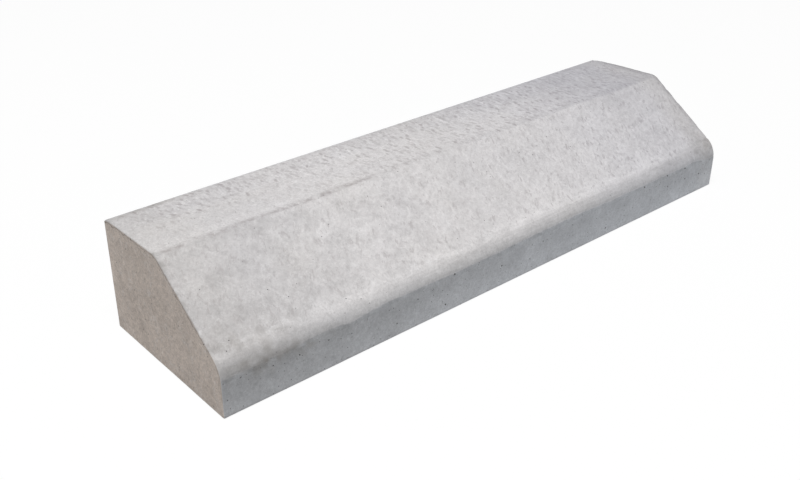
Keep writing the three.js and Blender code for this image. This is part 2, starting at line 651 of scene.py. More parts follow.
def patch_tone(places):
    """Light and dark ovals all over the stone."""
    patches = (
        # Tread
        (330, 56, 140, 38, 0.055),
        (590, 80, 110, 26, 0.04),
        (230, 35, 70, 16, 0.02),
        (560, 32, 150, 22, -0.018),
        (800, 11, 60, 12, 0.06),
        (790, 66, 90, 22, 0.03),
        # Beside the ridge
        (108, 126, 38, 10, -0.125),
        (28, 121, 26, 4, -0.10),
        (225, 124, 60, 4, 0.04),
        (300, 129, 80, 5, 0.03),
        (375, 116, 60, 7, 0.04),
        (320, 118, 24, 24, 0.02),
        (75, 122, 50, 3, -0.07),
        (195, 144, 30, 9, -0.06),
        (800, 134, 70, 14, -0.08),
        # Lower splay
        (370, 209, 70, 14, 0.04),
        (120, 222, 130, 24, -0.05),
        (530, 230, 70, 12, 0.03),
        (800, 195, 60, 30, 0.025),
        # Nose
        (430, 257.6, 180, 1.2, 0.04),
        (480, 253, 140, 9, 0.05),
        (35, 276, 22, 3, 0.06),
        (80, 265, 22, 9, -0.04),
        (125, 281, 25, 8, 0.04),
        (185, 272, 40, 5, -0.06),
        (228, 271, 50, 5, -0.02),
        (515, 278.5, 65, 2.5, -0.09),
        (825, 270, 25, 5, 0.05),
        (872, 267, 20, 5, 0.04),
        # Left end
        (0, 8, 6, 12, -0.20),
        (6, 78, 10, 34, -0.055),
        (0, 119, 7, 5, -0.15),
        (0, 142, 4, 22, -0.10),
        (4, 204, 14, 14, -0.11),
        (4, 232, 10, 12, 0.07),
        # Right end
        (873, 58, 10, 34, 0.08),
        (881, 160, 8, 26, 0.07),
        (892, 240, 7, 16, 0.15),
    )
    return 1 + ovals(places, patches)


def tread_tone(places):
    """Tread: duller to the right, darker at its back edge, with a light strip before the ridge."""
    x, s, tread = places.along, places.around, places.on_tread
    by_ridge = rising(s, 85, 118) * falling(x, 700, 820)
    tone = 1 - tread * (0.03 + 0.20 * rising(x, 540, 830) * (1 - 0.35 * by_ridge))
    tone *= 1 - 0.04 * tread * falling(x, 120, 260)
    tone *= 1 - (0.02 + 0.06 * near(x, 520, 80)) * falling(s, 3, 14)
    tone *= 1 - (0.02 + 0.03 * near(x, 540, 90)) * falling(s, 25, 65) * rising(x, 50, 100)
    tone *= 1 + 0.03 * tread * near(s, 106, 8) * (1 + falling(x, 150, 190))
    tone *= 1 - 0.06 * tread * falling(x, 35, 75) * falling(s, 52, 68)
    return tone * (1 + 0.03 * rising(x, 842, 865) * falling(s, 40, 70))


def splay_tone(places):
    """Splay: duller at both ends, with dark blotches most in its left half."""
    x, s, splay = places.along, places.around, places.on_splay
    blotches = smooth(0.50, 0.68, places.noise(13, seed=83, layers=3))
    tone = 1 - 0.10 * splay * falling(x, 110, 210)
    tone *= 1 + 0.02 * splay * rising(x, 420, 560)
    tone *= 1 - 0.08 * splay * rising(x, 680, 800)
    tone *= 1 + 0.06 * falling(x, 45, 75) * near(s, 129, 6)
    return tone * (1 - 0.07 * blotches * splay * (1 - 0.5 * rising(x, 260, 500)))


def ridge_tone(places):
    """Ridge: a narrow dark line up to a third of the length, a broad one further on, and a light
    line beside it past the middle."""
    x, s = places.along, places.around
    past_line = s - places.ridge_line
    tone = 1 - 0.04 * near(past_line, 0, 4.5) * falling(x, 280, 380) * rising(x, 20, 60)
    tone *= 1 - 0.06 * near(s, 118, 7) * rising(x, 200, 260) * falling(x, 700, 780)
    tone *= 1 - 0.03 * near(s, 118, 8) * rising(x, 640, 780)
    light = near(past_line, 5, 1.5) * rising(x, 520, 620) * falling(x, 700, 800)
    return tone * (1 + 0.02 * light)


def nose_tone(places):
    """Nose: light clumps at its start, a slow fall below that is painted shade where the nose turns
    down, away from the lamp, and darker and patchy at both ends.
    """
    x, s = places.along, places.around
    above_front = 1 - places.front
    clumps = places.drawn_noise(24, 8, seed=57) - 0.42
    dark = smooth(0.38, 0.60, places.drawn_noise(18, 7, seed=58))
    tone = 1 + 0.22 * clumps * near(s, 250, 8)
    # Painted shade: darker down the nose, where it turns away from the overhead lamp, most by the
    # left end
    tone *= 1 - 0.07 * rising(x, 215, 260) * rising(s, 254, 260) * above_front
    tone *= 1 - 0.22 * falling(x, 60, 170) * rising(s, 258, 281) * above_front
    tone *= 1 - 0.09 * near(s, 258, 14) * falling(x, 110, 170)
    tone *= 1 - 0.10 * near(s, 265, 9) * falling(x, 40, 80)
    tone *= 1 - 0.17 * near(s, 252, 7) * rising(x, 845, 870)
    return tone * (1 - 0.14 * dark * near(s, 261, 9) * rising(x, 670, 760))


def front_tone(places):
    """Formed front: a dark line at its start, which is painted shade under the crease, lighter to
    the right, and lighter towards its foot, which is painted light against the floor's shade.
    """
    x, s, front = places.along, places.around, places.front
    foot = 0.05 - 0.06 * falling(x, 35, 95) - 0.08 * rising(x, 840, 895)
    # Painted shade: a dark line just under the formed front's upper edge, as under a crease
    tone = 1 - 0.04 * near(s - places.form_line, 3, 4)
    tone *= 1 + front * (-0.12 + 0.15 * rising(x, 20, 500))
    tone *= 1 + front * (0.08 * rising(x, 500, 850) + 0.10 * rising(x, 840, 895))
    # Painted light: lighter towards the foot, against the floor's shade there
    tone *= 1 + 0.10 * front * rising(s, 288, 314)
    tone *= 1 + foot * front * rising(s, 314, 326)
    tone *= 1 - 0.07 * falling(x, 50, 130) * near(s, 304, 9)
    tone *= 1 + 0.16 * front * (places.noise(36, seed=47, layers=2) - 0.5)
    return tone * (1 + 0.16 * front * (places.noise(14, seed=43, layers=2) - 0.5))


def edge_tone(places):
    """Ends: duller towards both, with a thin dark arris on the left, which is painted shade along
    the edge, and a broader one on the right that fades inwards."""
    x, s, tread = places.along, places.around, places.on_tread
    to_right = LENGTH - x
    top = falling(s, 225, 255)
    broken = 0.6 + 0.8 * places.noise(9, seed=49, layers=2)
    tone = 1 - top * falling(x, 35, 95) * (0.05 - 0.03 * tread)
    tone *= 1 - top * rising(x, 840, 895) * (0.13 - 0.08 * tread)
    # Painted shade: a thin dark line along the left end's arris
    tone *= 1 - 0.30 * top * falling(x, 0.6, 2.0)
    tone *= 1 - top * broken * falling(to_right, 2.0, 4.5) * (0.20 + 0.12 * tread)
    tone *= 1 - 0.15 * rising(s, 14, 24) * falling(s, 104, 114) * falling(to_right, 6, 15)
    return tone * (1 - 0.10 * places.on_splay * falling(to_right, 5, 11) * falling(s, 215, 235))


def tone_of(places):
    """Brightness of the concrete as a factor about 1, for its slow changes over the stone and the
    lines along its ridge, its nose and its ends: the product of the tones of its areas."""
    tone = patch_tone(places)
    for area_tone in (tread_tone, splay_tone, ridge_tone, nose_tone, front_tone, edge_tone):
        tone = tone * area_tone(places)
    return tone


def end_tone(points):
    """Brightness of the end faces as a factor about 1: lighter by the back edge and under it,
    duller along the bed, below the nose and under the ridge."""
    inward, up = WIDTH / 2 - points[..., 1], points[..., 2]
    middle = rising(inward, 30, 70) * falling(inward, 170, 205)
    tone = 1 + 0.13 * falling(inward, 8, 22) * near(up, 90, 32)
    tone *= 1 - 0.09 * rising(inward, 30, 80) * falling(up, 3, 13)
    tone *= 1 - 0.10 * near(inward, 190, 38) * falling(up, 22, 45)
    tone *= 1 - 0.04 * near(inward, 85, 40) * rising(up, 100, 125)
    tone *= 1 - 0.04 * middle * near(up, 70, 38)
    tone *= 1 - 0.05 * rising(inward, 205, 225) * falling(up, 5, 15)
    return tone * (1 + 0.06 * near(inward, 32, 16) * rising(up, 128, 142))


# ---------------------------------------------------------------- surface


def arris_reach(form, chip_depth, loop, seed):
    """Width of an end's arris at each point of the section: the plain arris, widened as chips
    where the edge faces up and noise along it passes a threshold."""
    edge = np.stack([loop[:, 0], loop[:, 1], np.full(len(loop), seed * 0.1)], axis=-1)
    worn = layered_noise(edge, 11 * MM, seed, layers=3)
    chipped = smooth(0.57, 0.78, worn) * smooth(0.0, 0.4, loop[:, 3])
    return form.end_arris * (0.75 + 0.5 * worn) + chip_depth * chipped


def eased_normals(loop, around, reach):
    """Outward directions that turn slowly past tight corners: the normals averaged round the
    section with weights exp(-(distance / reach)^2), so that a surface set inwards never folds."""
    whole = around[-1] + np.hypot(*(loop[0, :2] - loop[-1, :2]))
    away = np.abs(around[:, None] - around[None, :])
    away = np.minimum(away, whole - away)
    steps = np.diff(np.append(around, whole))
    spread = (steps + np.roll(steps, 1)) / 2
    weights = np.exp(-((away / reach) ** 2)) * spread
    mean = weights @ loop[:, 2:]
    return mean / np.hypot(*mean.T)[:, None]


def side_grid(form, relief):
    """The surface between the ends, as a grid of stations along by points around. At each end the
    section shrinks inwards along a quarter circle, which is the arris. Returns the points, their
    outward directions, the way round to each, and the way round to the start of each run."""
    loop, around, starts = section_loop(form, relief.grid)
    outward = eased_normals(loop, around, reach=4 * MM)
    left = arris_reach(form, relief.chip_depth, loop, seed=11)
    right = arris_reach(form, relief.right_chip_depth, loop, seed=17)
    from_corner = np.minimum(around, around[-1] - around)
    right = right + relief.corner_wear * falling(from_corner, 28, 58)

    turn = np.linspace(0.0, math.pi / 2, ARRIS_POINTS)[:, None]
    left_x = -LENGTH / 2 + left * (1 - np.cos(turn))
    right_x = (LENGTH / 2 - right * (1 - np.cos(turn)))[::-1]
    left_inset, right_inset = left * (1 - np.sin(turn)), right * (1 - np.sin(turn[::-1]))
    share = np.linspace(0.0, 1.0, round(LENGTH / relief.grid) + 1)[1:-1, None]
    middle_x = left_x[-1] + share * (right_x[0] - left_x[-1])

    x = np.vstack([left_x, middle_x, right_x])
    inset = np.vstack([left_inset, np.zeros_like(middle_x), right_inset])
    y = loop[:, 0] - inset * outward[:, 0]
    z = loop[:, 1] - inset * outward[:, 1]
    normals = np.zeros((*x.shape, 3))
    normals[..., 1:] = outward
    return np.stack([x, y, z], axis=-1), normals, np.broadcast_to(around, x.shape), starts


def relief_depth(relief, places, pocks):
    """How far the cast surface lies inside the true section. All its parts sink it, so that it
    stays inside: slow waves, dimples, orange peel and the line at the formed face. The whole
    fades to about a third at the ends."""
    waves = places.noise(110, seed=23, layers=3)
    peel = places.noise(7, seed=29, layers=2)
    depth = relief.wave_depth * waves * (1 - 0.6 * places.formed)
    depth += relief.dimple_depth * pocks
    depth += relief.peel_depth * peel * (1 - 0.8 * places.formed)
    depth += relief.form_line_depth * near(places.around - places.form_line, 1, 1.8)
    from_end = np.minimum(places.along, LENGTH - places.along)
    return depth * (0.35 + 0.65 * rising(from_end, 0, 6))


def cap_rings(rim, toward, sign, relief, seed):
    """An end face: rings from the rim inwards to a point, each the rim drawn towards that point,
    with the face sunk by slow waves that die out at the rim, seven tenths as deep as the side's.
    The first ring lies close to the rim, so that the arris's rounding ends there. The sign is 1
    at the right end and -1 at the left."""
    shares = np.append(FIRST_RING, np.linspace(1.0, 0.0, CAP_RINGS + 1)[1:-1])
    rings = toward + shares[:, None, None] * (rim - toward)
    waves = layered_noise(rings, 60 * MM, seed, layers=3)
    inward = smooth(0.0, 0.12, 1 - shares)[:, None]
    rings[..., 0] -= sign * 0.7 * relief.wave_depth * waves * inward
    return rings


def quads_between(first, second):
    """Faces between closed rows of point numbers, each row and the one after it. They face
    outwards where the rows follow each other along the stone, or from the right rim inwards."""
    first_next = np.roll(first, -1, axis=-1)
    second_next = np.roll(second, -1, axis=-1)
    return np.stack([first, first_next, second_next, second], axis=-1)


def closed_skin(points, relief):
    """The side grid closed by an end face at each end: its points, its faces of four corners, the
    side's first, and its triangles, a fan round the middle of each end face."""
    stations, per_loop = points.shape[:2]
    numbers = np.arange(stations * per_loop).reshape(stations, per_loop)
    vertices = [points.reshape(-1, 3)]
    quads = [quads_between(numbers[:-1], numbers[1:])]
    fans = []
    count = stations * per_loop
    for station, sign, seed in ((0, -1, 31), (stations - 1, 1, 37)):
        rim = points[station]
        # A point well inside the section, in sight of the whole rim
        middle = np.array([rim[:, 0].mean(), rim[:, 1].mean() * 0.3, 68 * MM])
        rings = cap_rings(rim, middle, sign, relief, seed)
        ring_numbers = count + np.arange(len(rings) * per_loop).reshape(-1, per_loop)
        rows = np.vstack([numbers[station], ring_numbers])
        count += len(rings) * per_loop
        vertices += [rings.reshape(-1, 3), np.array([[rings[-1, :, 0].mean(), *middle[1:]]])]
        last, following = rows[-1], np.roll(rows[-1], -1)
        hub = np.full(per_loop, count)
        count += 1
        if sign > 0:
            quads.append(quads_between(rows[:-1], rows[1:]))
            fans.append(np.stack([last, following, hub], axis=-1))
        else:
            quads.append(quads_between(rows[1:], rows[:-1]))
            fans.append(np.stack([following, last, hub], axis=-1))
    quads = np.vstack([rows.reshape(-1, 4) for rows in quads])
    return np.vstack(vertices), quads, np.vstack(fans)


def mesh_of(name, vertices, quads, triangles):
    """A smooth-shaded mesh of these points, faces of four corners and triangles. Returns it with
    the number of the point at each corner."""
    corners = np.concatenate([quads.ravel(), triangles.ravel()]).astype(np.int32)
    sizes = np.concatenate([np.full(len(quads), 4), np.full(len(triangles), 3)])
    starts = np.concatenate([[0], np.cumsum(sizes)[:-1]])
    mesh = bpy.data.meshes.new(name)
    mesh.vertices.add(len(vertices))
    mesh.vertices.foreach_set("co", vertices.ravel())
    mesh.loops.add(len(corners))
    mesh.loops.foreach_set("vertex_index", corners)
    mesh.polygons.add(len(sizes))
    mesh.polygons.foreach_set("loop_start", starts.astype(np.int32))
    mesh.update(calc_edges=True)
    mesh.validate()
    mesh.polygons.foreach_set("use_smooth", np.ones(len(sizes), dtype=bool))
    return mesh, corners


def build_mesh(form, relief):
    """The whole skin as one mesh, with the numbers that its materials read at each point."""
    points, normals, around, starts = side_grid(form, relief)
    along = points[..., 0] + LENGTH / 2
    places = Places(starts, along, around, points)
    dimpled = dimple_share(places)
    dimples = 0.60 * pock_field(places, relief.dimple_spacing) * dimpled
    pocks = np.maximum(dimples, ridge_pocks(places))
    points = points - normals * relief_depth(relief, places, pocks)[..., None]
    vertices, quads, triangles = closed_skin(points, relief)
    mesh, corners = mesh_of(STONE + "_cast", vertices, quads, triangles)

    # The end's material (1) covers the caps and the outer half of each arris, the skin's the rest
    stations, per_loop = along.shape
    bands = np.zeros((stations - 1, per_loop), dtype=np.int32)
    bands[: ARRIS_POINTS // 2] = 1
    bands[-(ARRIS_POINTS // 2):] = 1
    finish = np.ones(len(mesh.polygons), dtype=np.int32)
    finish[: bands.size] = bands.ravel()
    mesh.polygons.foreach_set("material_index", finish)

    # A map that follows the skin: along and around on the sides, across and up on the ends
    caps = vertices[along.size:]
    wrap = np.vstack([np.stack([along.ravel(), around.ravel()], axis=-1), caps[:, 1:] + 2.0])
    mesh.uv_layers.new(name="wrap").data.foreach_set("uv", wrap[corners].ravel())

    # What the materials read: the values on the side and the one on the ends
    fields = {
        "pock": (pocks, 0.0),
        "flecks": (flecks_of(places), 0.0),
        "pocked": (dimpled * pocked_of(places), 0.0),
        "past_line": ((around - places.form_line) / MM, 10.0),
        "lean": (lean_of(places), 0.0),
        "grain": (grain_of(places), 0.9),
        "grime": (grime_share(places), 0.0),
        "formed": (places.formed_tint, 1.0),
        "cool": (cool_of(places), 0.0),
        "tone": (tone_of(places), end_tone(caps)),
        "mottle": (mottle_of(places), 1.0),
        "lime": (lime_of(places), 0.3),
        "streaks": (streaks_of(places), 0.0),
        "strokes": (strokes_of(places), 0.0),
    }
    for name, (on_side, on_ends) in fields.items():
        values = np.concatenate([on_side.ravel(), np.broadcast_to(on_ends, len(caps))])
        data = mesh.attributes.new(name, "FLOAT", "POINT").data
        data.foreach_set("value", values.astype(np.float32))
    return mesh


# ---------------------------------------------------------------- shader groups


class Nodes:
    """Short ways to add and join the nodes of one tree. Each value may be a plain one or the
    output of another node."""

    def __init__(self, tree):
        self.tree = tree

    def feed(self, value, socket):
        """Joins an output to the socket, or sets a plain value on it."""
        if isinstance(value, bpy.types.NodeSocket):
            self.tree.links.new(value, socket)
        else:
            socket.default_value = value

    def add(self, kind, **inputs):
        """A node of this kind, with sockets set by name: words joined by _ stand for spaces."""
        node = self.tree.nodes.new("ShaderNode" + kind)
        for name, value in inputs.items():
            self.feed(value, node.inputs[name.replace("_", " ")])
        return node

    def worked(self, kind, *values, **settings):
        """A node of this kind with these settings, and its first sockets set in order."""
        node = self.tree.nodes.new("ShaderNode" + kind)
        for name, setting in settings.items():
            setattr(node, name, setting)
        for socket, value in zip(node.inputs, values):
            self.feed(value, socket)
        return node

    def maths(self, operation, first, second=0.0, clamp=False):
        """A sum, product or other operation on two numbers."""
        return self.worked("Math", first, second, operation=operation, use_clamp=clamp).outputs[0]

    def times(self, first, *others):
        """The product of all the numbers."""
        for other in others:
            first = self.maths("MULTIPLY", first, other)
        return first

    def spread(self, noise, strength):
        """How far a noise lies from its middle, 0.5, times the strength."""
        return self.times(self.maths("SUBTRACT", noise, 0.5), strength)

    def span(self, value, low, high, to_low=0.0, to_high=1.0):
        """Maps low..high to to_low..to_high along a smooth step."""
        return self.worked("MapRange", value, low, high, to_low, to_high,
                           interpolation_type="SMOOTHSTEP").outputs[0]

    def vector(self, operation, first, second):
        """A sum, product or other operation on two vectors."""
        return self.worked("VectorMath", first, second, operation=operation).outputs[0]

    def scaled(self, vector, factor):
        """The vector times a number."""
        node = self.worked("VectorMath", vector, operation="SCALE")
        self.feed(factor, node.inputs["Scale"])
        return node.outputs[0]

    def turned(self, vector, angle):
        """The vector turned about Z."""
        node = self.add("VectorRotate", Vector=vector, Angle=angle)
        node.rotation_type = "Z_AXIS"
        return node.outputs[0]

    def length(self, vector):
        """The length of the vector."""
        return self.worked("VectorMath", vector, operation="LENGTH").outputs["Value"]

    def mix(self, share, first, second, blend="MIX"):
        """The first colour with this share of the second blended in."""
        node = self.worked("Mix", share, data_type="RGBA", blend_type=blend)
        self.feed(first, node.inputs[6])
        self.feed(second, node.inputs[7])
        return node.outputs[2]

    def noise(self, place, scale, detail=2.0, roughness=0.5, distortion=0.0):
        """Cloudy noise from 0 to 1, of this many patches to the metre."""
        return self.add("TexNoise", Vector=place, Scale=scale, Detail=detail,
                        Roughness=roughness, Distortion=distortion).outputs[0]

    def cells(self, place, scale):
        """The nearest point of a flat scatter of random points, one to each cell of a grid."""
        node = self.add("TexVoronoi", Vector=place, Scale=scale)
        node.voronoi_dimensions = "2D"
        return node.outputs

    def channels(self, colour):
        """The red, green and blue of a colour."""
        return self.add("SeparateColor", Color=colour).outputs

    def value_of(self, name):
        """The mesh's number of this name."""
        return self.worked("Attribute", attribute_name=name).outputs["Fac"]


def seen_directly(nodes):
    """1 for what the camera sees, straight, in a gloss or through glass, and 0 for light's way."""
    path = nodes.add("LightPath").outputs
    total = nodes.maths("ADD", path["Is Camera Ray"], path["Is Glossy Ray"])
    return nodes.maths("ADD", total, path["Is Transmission Ray"], clamp=True)


def new_group(name, output, **inputs):
    """An empty shader node group that puts out one number. Each input is a number with its
    default, or a vector where that is None. Returns the group, its nodes, its inputs by name, and
    the socket that it puts out."""
    group = bpy.data.node_groups.new(name, "ShaderNodeTree")
    for label, default in inputs.items():
        kind = "NodeSocketVector" if default is None else "NodeSocketFloat"
        socket = group.interface.new_socket(label, in_out="INPUT", socket_type=kind)
        if default is not None:
            socket.default_value = default
    group.interface.new_socket(output, in_out="OUTPUT", socket_type="NodeSocketFloat")
    source = group.nodes.new("NodeGroupInput").outputs
    result = group.nodes.new("NodeGroupOutput").inputs[output]
    return group, Nodes(group), source, result


def clouds_group():
    """Cloudy cement, as a factor about 1: large and middling patches as strong as the mottle, and
    fine ones everywhere."""
    group, nodes, source, result = new_group(
        "cement_clouds", "Factor", Place=None, Mottle=1.0, Large=0.05, Middling=0.05, Fine=0.05)
    place = source["Place"]
    large = nodes.spread(nodes.noise(place, 22.0, 2.0, 0.55), source["Large"])
    middling = nodes.spread(nodes.noise(place, 85.0, 4.0, 0.55, 1.4), source["Middling"])
    fine = nodes.spread(nodes.noise(place, 420.0, 2.0, 0.55, 1.0), source["Fine"])
    total = nodes.times(nodes.maths("ADD", large, middling), source["Mottle"])
    total = nodes.maths("ADD", total, fine)
    nodes.feed(nodes.maths("ADD", total, 1.0), result)
    return group


def streaks_group():
    """Long thin streaks, as a factor about 1: noise drawn out by a different scale along the stone
    and round it."""
    group, nodes, source, result = new_group(
        "streaks", "Factor", Wrap=None, Scale=None, Strength=0.2)
    drawn = nodes.vector("MULTIPLY", source["Wrap"], source["Scale"])
    total = nodes.spread(nodes.noise(drawn, 1.0, 2.0, 0.6, 0.4), source["Strength"])
    nodes.feed(nodes.maths("ADD", total, 1.0), result)
    return group


def flecks_group():
    """Dark ragged flecks, their long way leaning over from lying round the stone: the tops of fine
    noise, strongest where coarse noise gathers them."""
    group, nodes, source, result = new_group("flecks", "Fleck", Wrap=None, Strength=0.4)
    wrap = source["Wrap"]
    drawn = nodes.vector("MULTIPLY", nodes.turned(wrap, -0.35), (205.0, 95.0, 0.0))
    fleck = nodes.span(nodes.noise(drawn, 1.0, 3.0, 0.6, 0.4), 0.53, 0.65)
    gathered = nodes.span(nodes.noise(wrap, 45.0, 1.0), 0.38, 0.60, 0.35, 1.0)
    nodes.feed(nodes.times(fleck, gathered, source["Strength"]), result)
    return group


def pocks_group():
    """Small ragged oval hollows, one to each cell of a shaken Voronoi pattern, each with its own
    size, depth and turn drawn from the cell's random colour. Their long way lies round the stone,
    turned by the lean."""
    group, nodes, source, result = new_group(
        "pocks", "Pock", Wrap=None, Spacing=0.009, Lean=0.0, Shake=0.004)
    wrap = source["Wrap"]
    drift = nodes.add("TexNoise", Vector=wrap, Scale=230.0, Detail=3.0).outputs[1]
    drift = nodes.vector("SUBTRACT", drift, (0.5, 0.5, 0.5))
    shaken = nodes.vector("ADD", wrap, nodes.scaled(drift, source["Shake"]))
    scale = nodes.maths("DIVIDE", 1.0, source["Spacing"])
    cells = nodes.cells(shaken, scale)
    size, depth, turn = nodes.channels(cells["Color"])

    # The way from the hollow's middle, as a share of the spacing, turned and stretched to an oval
    offset = nodes.scaled(nodes.vector("SUBTRACT", shaken, cells["Position"]), scale)
    turned = nodes.turned(offset, nodes.maths("ADD", nodes.spread(turn, 0.9), source["Lean"]))
    away = nodes.length(nodes.vector("MULTIPLY", turned, (1.25, 0.42, 0.0)))
    radius = nodes.span(size, 0.0, 1.0, 0.17, 0.38)
    hollow = nodes.span(nodes.maths("DIVIDE", away, radius), 0.3, 1.25, 1.0, 0.0)
    depth = nodes.maths("ADD", nodes.times(depth, 0.7), 0.1)
    nodes.feed(nodes.times(hollow, depth), result)
    return group


def bloom_group():
    """Lime bloom: small whitish flecks where fine noise passes a threshold, gathered in patches
    where coarse noise is high, and thin curved threads where another noise crosses its middle."""
    group, nodes, source, result = new_group("lime_bloom", "Bloom", Place=None, Strength=0.3)
    place = source["Place"]
    flecks = nodes.span(nodes.noise(place, 190.0, 3.0, 0.6, 0.6), 0.55, 0.67)
    patches = nodes.span(nodes.noise(place, 20.0, 2.0), 0.38, 0.62)
    from_middle = nodes.maths("SUBTRACT", nodes.noise(place, 75.0, 3.0, 0.5, 0.8), 0.5)
    threads = nodes.span(nodes.maths("ABSOLUTE", from_middle), 0.0, 0.028, 1.0, 0.0)
    gathered = nodes.span(nodes.noise(place, 42.0, 1.0), 0.50, 0.60)
    both = nodes.maths("MAXIMUM", nodes.times(flecks, patches), nodes.times(threads, gathered))
    nodes.feed(nodes.times(both, source["Strength"]), result)
    return group


def pinholes_group():
    """Small round holes, one at most in each cell of a grid over the skin, in a share of cells."""
    group, nodes, source, result = new_group(
        "pinholes", "Hole", Wrap=None, Spacing=0.02, Radius=0.0007, Share=0.3)
    cells = nodes.cells(source["Wrap"], nodes.maths("DIVIDE", 1.0, source["Spacing"]))
    away = nodes.times(cells["Distance"], source["Spacing"])
    chance, size = nodes.channels(cells["Color"])[:2]
    radius = nodes.times(source["Radius"], nodes.span(size, 0.0, 1.0, 0.5, 1.3))
    hole = nodes.span(nodes.maths("DIVIDE", away, radius), 0.6, 1.2, 1.0, 0.0)
    nodes.feed(nodes.times(hole, nodes.maths("LESS_THAN", chance, source["Share"])), result)
    return group


# ---------------------------------------------------------------- concrete


class Concrete(Nodes):
    """A concrete material's nodes, with the colours and node groups that they use. Its place is
    the point in space, and its wrap the point on the map that follows the skin."""

    def __init__(self, name, colours, groups):
        self.material = bpy.data.materials.new(name)
        self.material.use_nodes = True
        self.material.node_tree.nodes.clear()
        super().__init__(self.material.node_tree)
        self.colours, self.groups = colours, groups
        self.place = self.add("TexCoord").outputs["Object"]
        self.wrap = self.worked("UVMap", uv_map="wrap").outputs[0]

    def colour(self, name):
        """One of the settings' colours, opaque."""
        return (*getattr(self.colours, name), 1.0)

    def group(self, which, **inputs):
        """What a node group puts out for these inputs."""
        node = self.worked("Group", node_tree=self.groups[which])
        for label, value in inputs.items():
            self.feed(value, node.inputs[label])
        return node.outputs[0]

    def tone(self, middling):
        """Brightness as a factor about 1: the cloudy cement times the slow changes."""
        clouds = self.group("clouds", Place=self.place, Mottle=self.value_of("mottle"),
                            Large=0.24, Middling=middling, Fine=self.value_of("grain"))
        return self.times(clouds, self.value_of("tone"))

    def finish(self, colour, tone, pock, hollow, holes):
        """The material: the colour times the tone, under bloom, hollows, grime and pinholes, with a
        dull finish and a relief of grain, pinholes and hollows. Hollow is the hollows' colour,
        darker from dirt in them and from painted shade, and the pinholes' near-black is painted
        shade."""
        grey = self.add("CombineColor", Red=tone, Green=tone, Blue=tone)
        colour = self.mix(1.0, colour, grey.outputs[0], "MULTIPLY")
        bloom = self.group("bloom", Place=self.place, Strength=self.value_of("lime"))
        colour = self.mix(bloom, colour, self.colour("bloom"))
        # The hollows' colour, dirt and painted shade, mixed in by their depth
        colour = self.mix(pock, colour, hollow)
        colour = self.mix(self.value_of("grime"), colour, self.colour("grime"))
        # Painted shade: the near-black inside of the pinholes
        colour = self.mix(holes, colour, self.colour("hole"))
        rough = self.span(self.noise(self.place, 60.0), 0.3, 0.7, 0.82, 0.94)

        grain = self.noise(self.place, 900.0, 3.0, 0.6)
        height = self.maths("SUBTRACT", self.times(grain, 0.10), holes)
        height = self.maths("SUBTRACT", height, self.times(pock, 0.8))
        relief = self.add("Bump", Height=height, Strength=0.9, Distance=0.6 * MM)
        shader = self.add("BsdfPrincipled", Base_Color=colour, Roughness=rough,
                          Specular_IOR_Level=0.3, Normal=relief.outputs[0])
        self.add("OutputMaterial", Surface=shader.outputs[0])
        return self.material


def end_material(colours, groups):
    """Concrete of the two ends: cloudy, with pinholes."""
    nodes = Concrete("concrete_end", colours, groups)
    holes = nodes.group("pinholes", Wrap=nodes.wrap, Spacing=0.010, Radius=0.0006, Share=0.25)
    return nodes.finish(nodes.colour("end"), nodes.tone(0.74), nodes.value_of("pock"),
                        nodes.colour("pock"), holes)


def skin_material(colours, groups):
    """Concrete of the skin and the formed faces: streaked, pocked and flecked, cooler towards the
    right end, with pinholes mostly in the formed faces."""
    nodes = Concrete("concrete_skin", colours, groups)
    place, wrap = nodes.place, nodes.wrap
    cool = nodes.value_of("cool")

    # The formed front starts along a ragged line and has a dark edge there, which is painted shade
    # under the crease
    ragged = nodes.times(nodes.noise(place, 120.0, 3.0), 3.0)
    past_line = nodes.maths("ADD", nodes.value_of("past_line"), ragged)
    front = nodes.span(past_line, 1.2, 2.9)
    edge = nodes.times(front, nodes.span(past_line, 4.2, 8.6, 1.0, 0.0))
    blotchy = nodes.span(nodes.noise(place, 70.0, 2.0), 0.35, 0.65, 0.10, 0.26)
    formed = nodes.maths("MAXIMUM", nodes.value_of("formed"), front)
    skin = nodes.mix(cool, nodes.colour("skin"), nodes.colour("cool_skin"))
    cast = nodes.mix(cool, nodes.colour("formed"), nodes.colour("cool_formed"))
    colour = nodes.mix(formed, skin, cast)

    # Streaks along the nose, and strokes across the tread
    streaks = nodes.group("streaks", Wrap=wrap, Scale=(30.0, 300.0, 0.0),
                          Strength=nodes.times(nodes.value_of("streaks"), 0.35))
    strokes = nodes.group("streaks", Wrap=nodes.turned(wrap, -0.18), Scale=(195.0, 26.0, 0.0),
                          Strength=nodes.times(nodes.value_of("strokes"), 0.65))
    tone = nodes.times(nodes.tone(0.50), nodes.times(streaks, strokes))
    tone = nodes.times(tone, nodes.maths("SUBTRACT", 1.0, nodes.times(edge, blotchy)))

    # Hollows: those of the mesh with ragged edges, the small pocks and the flecks, all in the
    # hollows' colour of dirt and painted shade
    ragged = nodes.span(nodes.noise(place, 230.0, 3.0, 0.6), 0.35, 0.65, 0.35, 1.2)
    small = nodes.group("pocks", Wrap=wrap, Spacing=0.0098, Shake=0.005,
                        Lean=nodes.value_of("lean"))
    small = nodes.times(small, nodes.value_of("pocked"))
    flecks = nodes.group("flecks", Wrap=wrap, Strength=nodes.value_of("flecks"))
    pock = nodes.maths("MAXIMUM", nodes.times(nodes.value_of("pock"), ragged), small)
    pock = nodes.maths("MAXIMUM", pock, flecks)
    hollow = nodes.mix(cool, nodes.colour("pock"), nodes.colour("cool_pock"))

    # Pinholes: a few in the skin, and more of two sizes in the formed faces, their dark inside
    # painted shade
    few = nodes.group("pinholes", Wrap=wrap, Spacing=0.009, Radius=0.0005, Share=0.05)
    specks = nodes.group("pinholes", Wrap=wrap, Spacing=0.008, Radius=0.0005, Share=0.30)
    large = nodes.group("pinholes", Wrap=wrap, Spacing=0.020, Radius=0.0010, Share=0.35)
    many = nodes.maths("MAXIMUM", specks, large)
    holes = nodes.channels(nodes.mix(nodes.span(formed, 0.6, 0.9), few, many))[0]
    return nodes.finish(colour, tone, pock, hollow, holes)


# ---------------------------------------------------------------- operators


